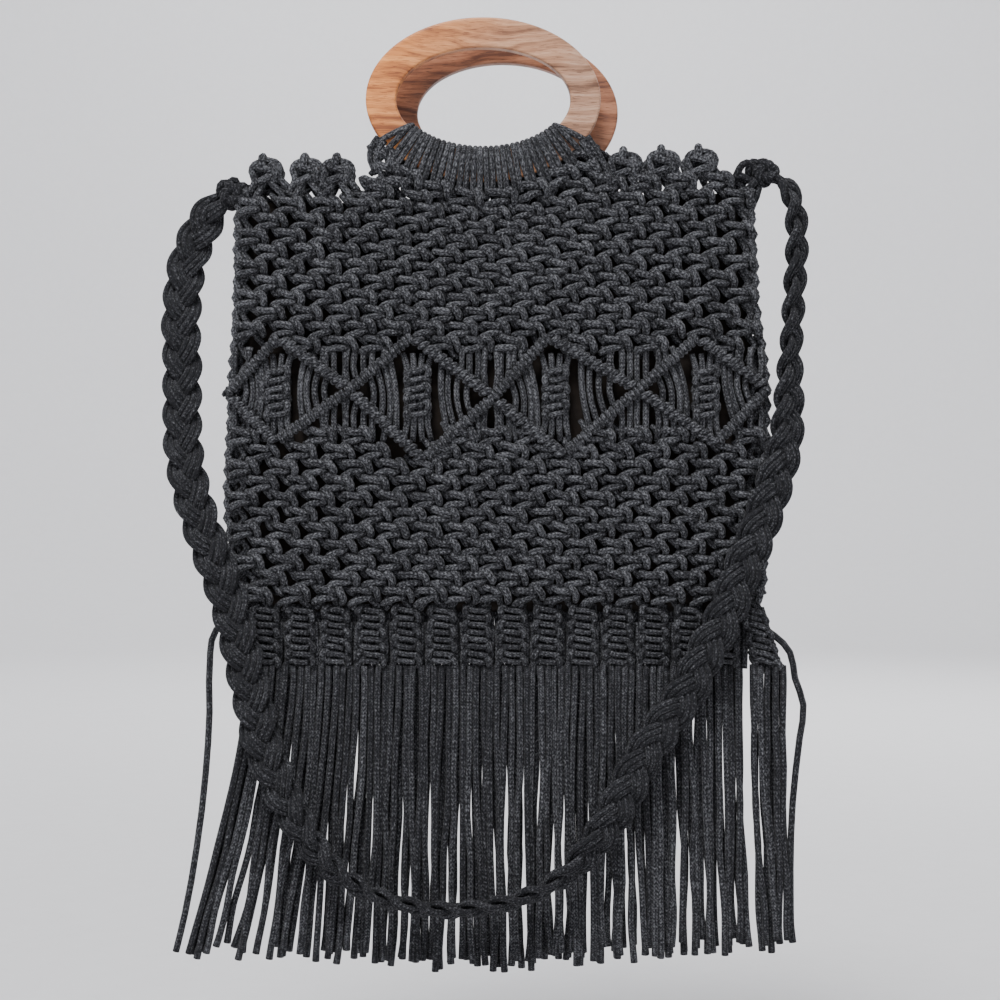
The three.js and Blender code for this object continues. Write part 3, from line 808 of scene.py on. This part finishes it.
# cords from the nets' lower corners to the end columns: start, two steps across, end
CORNER_CORDS = [(-174, 8, 13, -378), (-168, 8, 13, -378), (166, 3, 6, -380), (172, 3, 6, -380)]
closing_start = -(CLOSING_COUNT - 2) / 2 * CLOSING_PITCH


def closing_place(index):
    last = index == CLOSING_COUNT - 1
    lean = math.radians(CLOSING_LEAN) if last else 0.0

    def place(across, down, out):
        x = closing_start + index * CLOSING_PITCH
        rise = CLOSING_HEIGHT - down - BAR_DROP
        spread = 1.0 - TOP_NARROWING * rise / CLOSING_HEIGHT
        x += across * spread * math.cos(lean)
        x += rise * math.sin(lean) * -LAST_SHARE
        x += (LAST_SHIFT if last else 0) * (1 - rise / CLOSING_HEIGHT)
        return Vector((x, out, CLOSING_TOP - CLOSING_HEIGHT + rise - across * math.sin(lean)))

    return place


closing_runs = []
height = (CLOSING_HEIGHT - 2) / CLOSING_KNOTS
for index in range(CLOSING_COUNT):
    closing_runs += column_runs(closing_place(index), CLOSING_KNOTS, height, CLOSING_HALF,
                                CLOSING_DEPTH, CLOSING_CORD, CLOSING_LEADS)
for index in range(CLOSING_COUNT - 1):
    x = closing_start + (index + 0.5) * CLOSING_PITCH
    for aside, y, first in GAP_CORDS:
        line = [(x + aside + uneven(0.8), y, CLOSING_TOP - down) for down in (first, *GAP_LEVELS)]
        closing_runs.append(Run(line))
for x, middle, foot, end in CORNER_CORDS:
    closing_runs.append(Run([(x, 0, -356), (x + middle, -1, -366), (x + foot, -1, end)]))
# the header's cords are a little darker all over: painted shade
lay_cords("knotted_header", closing_runs, ["closing_columns"], tones_and_painted_shade=(-0.5, 0.4))

# %% [markdown]
# ## The fringe
# The ten cords of each column hang free below it, in two layers, and end ragged. Each
# leaves the column's foot, drops straight with a slight wave of its own, and the cords at
# the left swing outwards. The table is the CAD model's lower edge. At each side one stray
# cord hangs beyond the others.

# %% Fringe
FRINGE_TOP, FRINGE_LENGTH = -408.5, 206
# along from left to right, hang as a share of the length, swing as a share of half the width
FRINGE_EDGE = [(0.0, 0.95, -0.26), (0.1, 0.96, -0.12), (0.25, 0.98, -0.04), (0.45, 1.0, 0.0),
               (0.7, 0.97, 0.0), (1.0, 0.93, 0.03)]
FRINGE_CORD, FRINGE_CORDS, FRINGE_PITCH = 4.5, 5, 4.7
# a layer's first cord comes from higher up, beside its column's foot
FRINGE_LEAD = (6.5, 8.5)
# how far the ends drift apart, how far the cords wave and curl on their way
DRIFT, WAVE, CURL = 3.6, 2.8, 1.2
FRINGE_LEVELS = (0.0, 0.05, 0.14, 0.25, 0.37, 0.5, 0.63, 0.75, 0.86, 0.95, 1.0)


def fringe_run(x, y, along, lead=None):
    hang = read(FRINGE_EDGE, along, 1) * SOFT.uniform(0.935, 1.0)
    swing = read(FRINGE_EDGE, along, 2) * HALF_WIDTH
    drift, wave, curl = uneven(DRIFT), uneven(WAVE), uneven(CURL)
    phase = SOFT.uniform(0, 2 * math.pi)
    points = [Vector((x + lead[0], y, FRINGE_TOP + lead[1]))] if lead else []
    for down in FRINGE_LEVELS:
        wander = swing * down**1.3 + drift * down + wave * math.sin(phase + 5 * down) * down**0.5
        wander += curl * math.sin(2 * phase + 17 * down) * down**0.5
        depth = y * (1 - 0.25 * down) + 1.2 * math.sin(phase + 4 * down) * down
        points.append(Vector((x + wander, depth, FRINGE_TOP - down * FRINGE_LENGTH * hang)))
    swell = [1.0] * (len(points) - 2) + [1.02, 1.1]
    return Run(points, FRINGE_CORD, swell=swell)


# two cords that stray beyond the others, from top to end
STRAY_CORDS = [
    [(178, 0, -383), (187, -1, -389), (197, -2, -400), (200.3, -2, -417), (206, -2, -435),
     (203.5, -2, -457), (199, -1, -500), (197.5, -1, -545), (198, -1, -592)],
    [(-176, 0, -379), (-186, 0, -385), (-190, 0, -400), (-190.5, 0, -440), (-193, 0, -480),
     (-199, 0, -530), (-207, 0, -575), (-213, 0, -600)],
]
fringe_runs = [Run(line, FRINGE_CORD) for line in STRAY_CORDS]
for index in range(CLOSING_COUNT):
    last = index == CLOSING_COUNT - 1
    for layer in (-1, 1):
        for i in range(FRINGE_CORDS):
            aside = i - (FRINGE_CORDS - 1) / 2
            x = closing_start + index * CLOSING_PITCH + aside * FRINGE_PITCH
            x += uneven(0.6) + (LAST_SHIFT if last else 0)
            x += FRINGE_PITCH / 2 if layer > 0 and not last else 0
            along = (index + 0.5 + aside * 0.18) / CLOSING_COUNT
            lead = FRINGE_LEAD if i == 0 and layer < 0 else None
            fringe_runs.append(fringe_run(x, layer * SOFT.uniform(2.4, 4.4), along, lead))
# the fringe's cords are darker all over: painted shade
lay_cords("fringe_cords", fringe_runs, ["fringe"], sides=8, tones_and_painted_shade=(-1.0, 0.3))

# %% [markdown]
# ## The cords over the handles
# Cords are looped over each handle in pairs: up the front of the wood, over its inside
# edge and down behind. Side by side at the inside edge, the pairs spread towards the
# outside, so that wedges of wood show between them. Below them a row of larger knots
# gathers four cords each, and small knots fill the corners beside them.

# %% Loops over the handles
RING_WIDE, RING_TALL, RING_BAND, RING_THICK = 77.5, 54, 20, 9
LOOP_PAIRS, LOOP_CORD = 16, 3.75
LOOP_FROM, LOOP_TO = 208, 332
# how close the two cords of a pair lie, how far inside the outline the pairs are shared out
PAIR_CLOSE, SHARING_INSET = 0.97, 32
# half a loop: out from the band's middle, off the wood as a share, how much the cord swells
LOOP_HALF = [(19.5, 0.3, 1.0), (14.0, 0.62, 1.04), (6.0, 1.0, 1.12), (-6.5, 1.02, 1.05),
             (-10.4, 0.8, 1.0)]
HORN_SPREAD, HORN_CORD, HORN_APART = 13, 4.3, 4.2
HORN_LIFTS = (6.5, 4.5, 2.5, 0.5)
# the horns, which run on from the outermost pairs: across and up from the handle's middle
HORNS = [
    [(-69.0, -25.5), (-73.5, -31.5), (-74.5, -40.0), (-70.0, -49.0)],
    [(68.5, -25.0), (73.5, -32.0), (79.0, -41.0), (84.0, -53.0)],
]
# the oval on which the gathering knots sit, and their number
GATHER_WIDE, GATHER_TALL, GATHER_COUNT = 82, 66, LOOP_PAIRS // 2
# across from the handle's middle, height
FILLING_KNOTS = [(-66.5, -72.5), (-64.0, -81.5), (-73.0, -91.0), (-60.0, -92.0), (-44.0, -100.5),
                 (67.0, -81.0), (76.0, -88.0)]
# the parts of a knot that would stick out where no neighbour holds them
LOOSE_ENDS = ("link", "lower bar", "back bar")
LOOSE_LEGS = ("left leg", "right leg")


def on_ring(angle, out, aside, depth, handle):
    """out is measured from the middle of the band, aside along it, depth off the wood's middle."""
    wide, tall = RING_WIDE - RING_BAND / 2, RING_TALL - RING_BAND / 2
    normal = Vector((math.cos(angle) / wide, math.sin(angle) / tall)).normalized()
    x = wide * math.cos(angle) + normal.x * out - normal.y * aside
    z = tall * math.sin(angle) + normal.y * out + normal.x * aside
    return handle + Vector((x, depth, z))


def pair_angles():
    """Angles that share out the band's inside edge evenly among the pairs."""
    fine = [math.radians(LOOP_FROM + (LOOP_TO - LOOP_FROM) * i / 200) for i in range(201)]
    reach = [0.0]
    for here, there in zip(fine, fine[1:]):
        middle = (here + there) / 2
        inner = math.hypot((RING_WIDE - SHARING_INSET) * math.sin(middle),
                           (RING_TALL - SHARING_INSET) * math.cos(middle))
        reach.append(reach[-1] + inner * (there - here))
    rows = list(zip(reach, fine))
    return [read(rows, reach[-1] * (i + 0.5) / LOOP_PAIRS) for i in range(LOOP_PAIRS)]


def loop_runs(handle):
    runs = []
    inside = -RING_BAND / 2 - LOOP_CORD / 2
    face = RING_THICK / 2 + LOOP_CORD / 2
    path = [(out, -face * depth, wider) for out, depth, wider in LOOP_HALF]
    path += [(inside, 0, 1.0)]
    path += [(out, face * depth, wider) for out, depth, wider in reversed(LOOP_HALF)]
    swell = [wider for _, _, wider in path]
    for index, angle in enumerate(pair_angles()):
        for side in (-0.5, 0.5):
            points = []
            lean = uneven(0.5)
            if (index, side) in ((0, -0.5), (LOOP_PAIRS - 1, 0.5)):
                lean = side * HORN_SPREAD
            for out, depth, wider in path:
                aside = side * LOOP_CORD * PAIR_CLOSE * wider + lean * out / RING_BAND
                points.append(on_ring(angle, out, aside, depth, handle))
            runs.append(Run(points, LOOP_CORD, swell=swell))
    return runs


def horn_runs(handle, facing):
    """The outermost pairs run on down from the handle's edge into the net."""
    runs = []
    for line in HORNS:
        inward = -math.copysign(HORN_APART, line[0][0])
        for place in (0, 1):
            points = []
            for (x, z), lift in zip(line, HORN_LIFTS):
                x = handle.x - facing * (x + place * inward)
                points.append(on_panel(x, handle.z + z - 2.5 * place, lift, facing))
            runs.append(Run(points, HORN_CORD))
    return runs


def gathering_knots(handle, facing):
    runs = []
    for k in range(GATHER_COUNT):
        angle = math.radians(LOOP_FROM + (k + 0.5) * (LOOP_TO - LOOP_FROM) / GATHER_COUNT)
        x = handle.x + GATHER_WIDE * math.cos(angle)
        z = handle.z + GATHER_TALL * math.sin(angle)
        slope = math.atan2(GATHER_TALL * math.cos(angle), -GATHER_WIDE * math.sin(angle)) * -facing
        wide, loose = (0.75, LOOSE_ENDS + LOOSE_LEGS) if k in (0, GATHER_COUNT - 1) else (1.1, ())
        runs += tie_knot(x, z, facing, wide, high=1.15, turn=0.55 * slope, bulk=1.1, without=loose)
    for x, z in FILLING_KNOTS:
        runs += tie_knot(handle.x - facing * x, z, facing, wide=0.9, without=LOOSE_ENDS)
    return runs


for facing, label in PANELS:
    handle = HANDLES[facing]
    runs = loop_runs(handle) + horn_runs(handle, facing) + gathering_knots(handle, facing)
    lay_cords(f"handle_loops_{label}", runs, [f"handle_wraps_{label}"], sides=8)

# %% [markdown]
# ## The loops along the top edge
# Beside the handles small knotted loops stand along the edge, three on each side: a round
# loop on top of two bars, on two cords that spread into the net.

# %% Picots
# the loop on top first, then the rest, as points across, up and out
PICOT_LINES = [
    [(-1.4, 8.6, 3.0), (-1.0, 13.8, 3.8), (-0.3, 17.0, 0.3), (0.3, 13.8, -3.2), (0.6, 8.6, -3.0)],
    [(-1.6, 13.4, 1.2), (-6.4, 12.2, 1.8), (-8.9, 8.0, 1.6), (-7.4, 3.6, 0.8), (-8.8, -1.0, 0.4),
     (-12.0, -5.0, 0.0)],
    [(1.8, 13.6, 1.2), (7.6, 12.0, 1.8), (10.4, 7.4, 1.6), (8.8, 3.0, 1.0), (11.0, -1.6, 0.6),
     (14.2, -5.4, 0.0)],
    [(-5.6, 10.4, 1.2), (-1.2, 9.0, 3.6), (3.2, 7.2, 3.4), (6.2, 5.2, 1.2)],
    [(3.6, 10.4, 1.2), (6.6, 8.8, 3.9), (7.6, 5.2, 4.4), (6.8, 1.8, 3.0), (4.2, 0.2, 1.0)],
    [(-6.6, 0.2, 0.4), (-3.0, 1.0, 3.0), (1.4, 2.6, 3.4), (5.0, 3.8, 1.2)],
    [(-1.6, 2.0, -0.4), (-3.6, -3.0, 0.2), (-7.4, -8.0, 0.2), (-9.6, -12.6, 0.0)],
    [(1.6, 2.0, -0.4), (4.2, -2.8, 1.2), (8.0, -7.4, 0.8), (10.2, -12.4, 0.0)],
    [(7.6, 8.6, -1.2), (0.4, 7.6, -3.6), (-6.4, 6.6, -1.6)],
    [(7.4, 3.4, -1.2), (0.2, 2.4, -3.4), (-6.8, 1.4, -1.6)],
]
PICOT_RISE, PICOT_CORD, PICOT_TOP_CORD = 6.5, 4.7, 5.5


def picot_runs(facing):
    runs = []
    for place in PICOT_PLACES:
        x = HANDLES[FRONT].x + place
        foot = read(TOP_EDGE, place) + PICOT_RISE
        turn = uneven(0.12)
        cos, sin = math.cos(turn), math.sin(turn)
        for line in PICOT_LINES:
            points = []
            for right, up, lift in line:
                px = x - facing * (right * cos - up * sin)
                points.append(on_panel(px, foot + right * sin + up * cos, lift, facing))
            runs.append(Run(points, PICOT_TOP_CORD if line is PICOT_LINES[0] else PICOT_CORD))
    return runs


for facing, label in PANELS:
    lay_cords(f"picots_{label}", picot_runs(facing), [f"panel_{label}"], sides=8)

# %% [markdown]
# ## The side edges
# Down each side the outermost cord of each panel swings out once for each row of knots, and
# the next cord swings in as far as the gaps between the knots. Front and back take turns.

# %% Side cords
# inset of the cord where it swings out and where it swings in, then its lift
SIDE_CORDS = [(1.7, 4.4, -1.2), (7.0, 13.5, -2.6)]
SIDE_CORD, SIDE_TOP, SIDE_FOOT = 4.8, -91.0, -366


def side_runs():
    runs = []
    for side in (-1, 1):
        for facing in (FRONT, BACK):
            for index, (outer, inner, lift) in enumerate(SIDE_CORDS):
                step = KNOT_STEP / 2 * (index + 1)
                turn = 0 if facing == FRONT else 1
                z = SIDE_TOP
                points = []
                while z > SIDE_FOOT:
                    x = side * abs(side_x(side, z)) - side * (inner if turn % 2 else outer)
                    points.append(on_panel(x + uneven(0.5), z, lift, facing))
                    z -= step + uneven(0.4)
                    turn += 1
                runs.append(Run(points, SIDE_CORD))
    return runs


lay_cords("side_cords", side_runs(), sides=8)

# %% [markdown]
# ## The lining
# No light comes through the nets, and dark cloth shows in the eyes beside the crossings, so a
# pouch of thin cotton hangs inside. It could be simulated, but the panels hold it all round,
# so it is a grid bent along one panel's inside, mirrored for the other panel and closed down
# the sides and along the bottom, where it is one strip of cloth folded double.

# %% Lining
LINING_GAP, LINING_SHARE = 7.8, 0.95
LINING_HEM, LINING_FOOT, LINING_SLACK = 6.0, -373.0, 0.7


def smooth_mesh(form, name):
    """A finished bmesh as a mesh that is shaded smooth."""
    shape = bpy.data.meshes.new(name)
    form.to_mesh(shape)
    form.free()
    shape.shade_smooth()
    return shape


def lining_finish():
    cotton = Shader("dark cotton")
    place = cotton.add("TexCoord").outputs["Object"]
    split = cotton.add("SeparateXYZ", {"Vector": place}).outputs
    threads = [cotton.math("SINE", cotton.math("MULTIPLY", split[axis], 2 * math.pi / (0.6 * MM)))
               for axis in ("X", "Z")]
    weave = cotton.math("MULTIPLY", *threads)
    patches = cotton.noise(place, 90.0, 3.0)
    value = cotton.math("MULTIPLY_ADD", weave, 0.12, patches)
    cotton.bump(value, 0.2 * MM)
    stops = [(0.3, (0.006, 0.0045, 0.004)), (0.7, (0.02, 0.015, 0.012))]
    cotton.settle(Base_Color=cotton.ramp(value, stops), Roughness=0.95, Specular_IOR_Level=0.2)
    return cotton.material


def make_lining():
    cloth = bmesh.new()
    bmesh.ops.create_grid(cloth, x_segments=48, y_segments=36, size=1)
    for vert in cloth.verts:
        across, down = vert.co.x, (1 - vert.co.y) / 2
        x = from_middle(across, BODY_TOP) * LINING_SHARE
        top = min(read(TOP_EDGE, x - handle.x) for handle in HANDLES.values()) - LINING_HEM
        z = top + (LINING_FOOT - top) * down
        x = from_middle(across, z) * LINING_SHARE
        slack = LINING_SLACK * math.sin(x / 7 + z / 50)
        inside = on_panel(x, z, -LINING_GAP - LINING_SLACK + slack, BACK).y
        on_seam = abs(across) > 0.999 or down > 0.999
        vert.co = Vector((x, 0 if on_seam else max(inside, 0.3), z)) * MM
    bmesh.ops.mirror(cloth, geom=cloth.verts[:] + cloth.edges[:] + cloth.faces[:], axis="Y",
                     merge_dist=1e-6)
    bmesh.ops.remove_doubles(cloth, verts=cloth.verts, dist=1e-6)
    bmesh.ops.recalc_face_normals(cloth, faces=cloth.faces)
    piece = place_piece("lining", smooth_mesh(cloth, "lining"), lining_finish())


make_lining()

# %% [markdown]
# ## The wooden handles
# Each handle is an oval ring of walnut, 9 mm thick, with rounded edges. A bevelled
# rectangle, spun once round, gives a round ring; then every point is moved out to the oval
# at its own angle, which keeps the band equally wide. Extra cuts in the flat sides keep
# them flat in the light.

# %% Walnut
def wood_finish(name, left, right, seed):
    wood = Shader(name)
    place = wood.add("TexCoord").outputs["Object"]

    def stretched(scale, location=(0, 0, 0)):
        inputs = {"Vector": place, "Location": location, "Scale": scale}
        return wood.add("Mapping", inputs).outputs[0]

    moved = stretched((9, 60, 170), (seed, seed * 0.3, seed * 0.7))
    bend = wood.noise(place, 11.0, 2.0)
    swirl = wood.add("VectorMath", {0: moved, 1: wood.add("CombineXYZ", {
        "Z": wood.math("MULTIPLY", bend, 7.0)}).outputs[0]}, operation="ADD").outputs[0]
    grain = wood.noise(swirl, 1.0, 6.0, 0.62)
    fine = wood.noise(stretched((60, 900, 900)), 1.0, 4.0, 0.7)
    pores = wood.noise(stretched((130, 1500, 1900)), 1.0, 1.0, 0.5)
    mixed = wood.math("MULTIPLY_ADD", fine, 0.3, wood.math("MULTIPLY_ADD", grain, 1.15, -0.22))
    mark = wood.math("MULTIPLY", wood.math("GREATER_THAN", pores, 0.63), -0.12)
    value = wood.math("ADD", mixed, mark)
    wood.bump(value, 0.15 * MM, 0.6)
    roughness = wood.math("MULTIPLY_ADD", fine, 0.3, 0.32)
    across = wood.add("SeparateXYZ", {"Vector": place}).outputs["X"]
    edge = wood.math("MULTIPLY_ADD", bend, 0.16, across)
    greyer = wood.add("MapRange", {"Value": edge, "From Min": 0.0, "From Max": 0.14}).outputs["Result"]
    colour = wood.add("Mix", {0: greyer, 6: wood.ramp(value, left), 7: wood.ramp(value, right)},
                      data_type="RGBA").outputs[2]
    wood.settle(Base_Color=colour, Roughness=roughness, Specular_IOR_Level=0.4)
    return wood.material


HONEY = [(0.34, (0.2, 0.05, 0.011)), (0.5, (0.52, 0.172, 0.036)), (0.68, (0.75, 0.31, 0.085))]
GREYED = [(0.34, (0.1, 0.044, 0.024)), (0.5, (0.3, 0.158, 0.095)), (0.68, (0.45, 0.28, 0.19))]
RED_WOOD = [(0.34, (0.08, 0.026, 0.013)), (0.5, (0.25, 0.095, 0.046)), (0.68, (0.4, 0.18, 0.1))]


# %% Handle rings
def wooden_ring(name, node, handle, finish):
    ring = bmesh.new()
    corner_radius = 1.6
    profile = bmesh.ops.create_grid(ring, x_segments=1, y_segments=1, size=0.5)["verts"]
    bmesh.ops.scale(ring, verts=profile, vec=(RING_BAND, RING_THICK, 1))
    bmesh.ops.bevel(ring, geom=profile, offset=corner_radius, affect="VERTICES", segments=5,
                    profile=0.5, material=-1)
    bmesh.ops.delete(ring, geom=ring.faces[:], context="FACES_ONLY")
    long_edges = [edge for edge in ring.edges if edge.calc_length() > corner_radius]
    bmesh.ops.subdivide_edges(ring, edges=long_edges, cuts=7)
    middle = 60.0
    bmesh.ops.translate(ring, verts=ring.verts, vec=(middle, 0, 0))
    bmesh.ops.spin(ring, geom=ring.verts[:] + ring.edges[:], cent=(0, 0, 0), axis=(0, 1, 0),
                   angle=2 * math.pi, steps=128, use_merge=True)
    bmesh.ops.remove_doubles(ring, verts=ring.verts, dist=1e-4)
    for vert in ring.verts:
        angle = math.atan2(vert.co.z, vert.co.x)
        out = math.hypot(vert.co.x, vert.co.z) - middle
        vert.co.x = (RING_WIDE - RING_BAND / 2 + out) * math.cos(angle)
        vert.co.z = (RING_TALL - RING_BAND / 2 + out) * math.sin(angle)
    bmesh.ops.translate(ring, verts=ring.verts, vec=handle)
    bmesh.ops.scale(ring, verts=ring.verts, vec=(MM, MM, MM))
    bmesh.ops.recalc_face_normals(ring, faces=ring.faces)
    piece = place_piece(name, smooth_mesh(ring, name), finish, [node])
    print(f"{name}: {len(piece.data.polygons)} faces")


wooden_ring("wooden_handle_front", "handle_front", HANDLES[FRONT],
            wood_finish("walnut", HONEY, GREYED, 0.2))
wooden_ring("wooden_handle_back", "handle_back", HANDLES[BACK],
            wood_finish("red wood", RED_WOOD, RED_WOOD, 1.7))

# %% [markdown]
# ## Studio
# The bag hangs over a plain pale floor that rises all round into a backdrop, like a wide
# dish. A large soft light stands in front of it and a weaker one behind, four more face
# outwards and light only the backdrop, and a dim sky fills the shadows.

# %% Floor, light and sky
def studio():
    dish = bmesh.new()
    floor_z, wall_radius, curve_radius, wall_height = -0.76, 6.0, 1.5, 4.0
    corners = [dish.verts.new((0, 0, floor_z))]
    for step in range(9):
        angle = math.radians(90 * step / 8)
        corners.append(dish.verts.new((wall_radius - curve_radius + curve_radius * math.sin(angle), 0,
                                       floor_z + curve_radius * (1 - math.cos(angle)))))
    corners.append(dish.verts.new((wall_radius, 0, floor_z + wall_height)))
    for low, high in zip(corners, corners[1:]):
        dish.edges.new((low, high))
    bmesh.ops.spin(dish, geom=dish.verts[:] + dish.edges[:], cent=(0, 0, 0), axis=(0, 0, 1),
                   angle=2 * math.pi, steps=96, use_merge=True)
    bmesh.ops.remove_doubles(dish, verts=dish.verts, dist=1e-5)
    bmesh.ops.recalc_face_normals(dish, faces=dish.faces)
    bmesh.ops.reverse_faces(dish, faces=dish.faces)
    shape = smooth_mesh(dish, "backdrop")
    paper = Shader("pale paper")
    grain = paper.noise(paper.add("TexCoord").outputs["Object"], 40.0, 3.0)
    paper.settle(Base_Color=paper.ramp(grain, [(0.0, (0.66, 0.66, 0.68)), (1.0, (0.7, 0.7, 0.72))]),
                 Roughness=0.9)
    shape.materials.append(paper.material)
    stand("backdrop", shape)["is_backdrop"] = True


def soft_light(name, place, target, size, power):
    data = bpy.data.lights.new(name, "AREA")
    data.shape = "DISK"
    data.size = size
    data.energy = power
    lamp = stand(name, data)
    lamp.location = place
    lamp.rotation_euler = (Vector(target) - Vector(place)).to_track_quat("-Z", "Y").to_euler()


studio()
bag_middle = Vector((0, 0, -0.3))
soft_light("front light", (-0.5, -1.6, 2.1), bag_middle, 1.0, 118)
soft_light("back light", (1.2, 2.8, 1.6), bag_middle, 2.0, 60)
for quarter in range(4):
    away = Vector((math.sin(quarter * math.pi / 2), math.cos(quarter * math.pi / 2), 0))
    soft_light(f"wall light {quarter}", 3.0 * away + Vector((0, 0, 2.7)),
               6.0 * away + bag_middle, 2.4, 147)
world = bpy.data.worlds.new("sky")
world.use_nodes = True
world.node_tree.nodes["Background"].inputs["Color"].default_value = (1, 1, 1, 1)
world.node_tree.nodes["Background"].inputs["Strength"].default_value = 0.27
bpy.context.scene.world = world

# %% The two boxes, in metres
boxes = {"cad": cad_box, "visual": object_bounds()}
{key: [list(corner) for corner in box] for key, box in boxes.items()}
